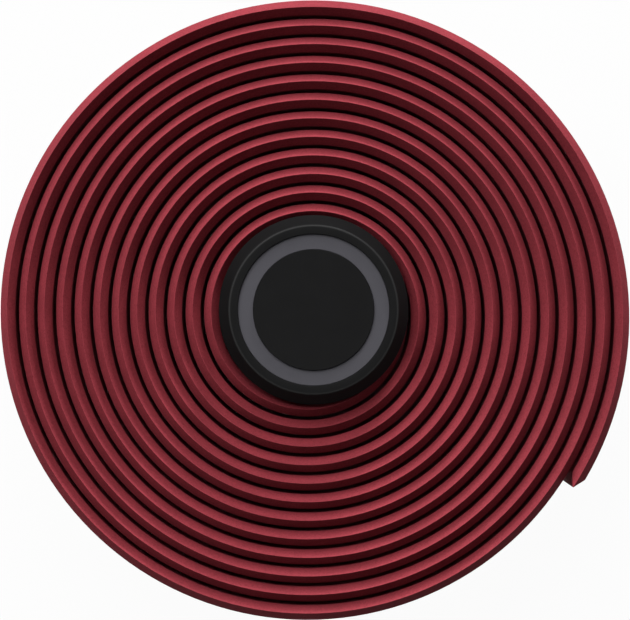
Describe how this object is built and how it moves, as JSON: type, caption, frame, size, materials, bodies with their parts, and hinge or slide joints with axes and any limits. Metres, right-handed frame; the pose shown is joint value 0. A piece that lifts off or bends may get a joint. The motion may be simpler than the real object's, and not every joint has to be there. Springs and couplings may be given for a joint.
{
  "type": "handlebar tape roll",
  "caption": "Spiral roll of dark red foam handlebar tape with bevelled edges, standing on its end, with a black bar-end plug pushed into its middle.",
  "frame": {"origin": "middle of the roll's outline, in the plane of its lower face", "axes": "+Z along the roll's axis, up towards the plug's head; the tape's outer end lies 33.3 degrees clockwise from +X, seen from the plug"},
  "size_m": [0.1002, 0.0988, 0.0364],
  "materials": {
    "tape_foam": "matt dark red foam",
    "plug_black": "matt black moulded",
    "inlay_grey": "satin grey"
  },
  "bodies": {
    "root": {"tape": "tape_foam", "end_plug": "plug_black", "plug_inlay": "inlay_grey"}
  },
  "joints": []
}
